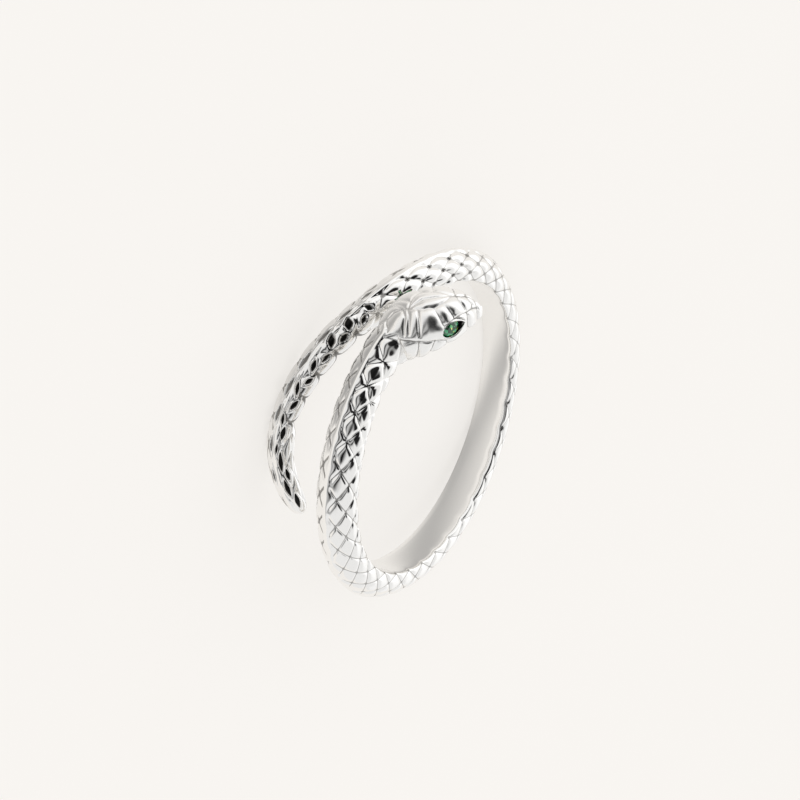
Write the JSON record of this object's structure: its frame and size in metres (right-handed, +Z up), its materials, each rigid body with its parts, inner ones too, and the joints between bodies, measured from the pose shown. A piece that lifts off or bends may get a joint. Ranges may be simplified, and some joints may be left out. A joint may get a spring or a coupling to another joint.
{
  "type": "open snake finger ring",
  "caption": "Open finger ring in the form of a snake: a ridged silver band whose tapering tail passes beside a raised head with small green stones for eyes.",
  "frame": {"origin": "on the surface that the ring lies on, under the middle of its outline", "axes": "+Z up from that surface, with the finger hole's axis leaning 11.6 degrees from it; -Y the side where the head and the tail pass each other; -X the side that the snout points to"},
  "size_m": [0.0206, 0.0206, 0.0074],
  "materials": {
    "silver": "polished sterling silver, bright all over",
    "green_stone": "faceted green cubic zirconia, polished"
  },
  "bodies": {
    "root": {"ring_body": "silver", "eye_stone_left": "green_stone", "eye_stone_right": "green_stone"}
  },
  "joints": []
}
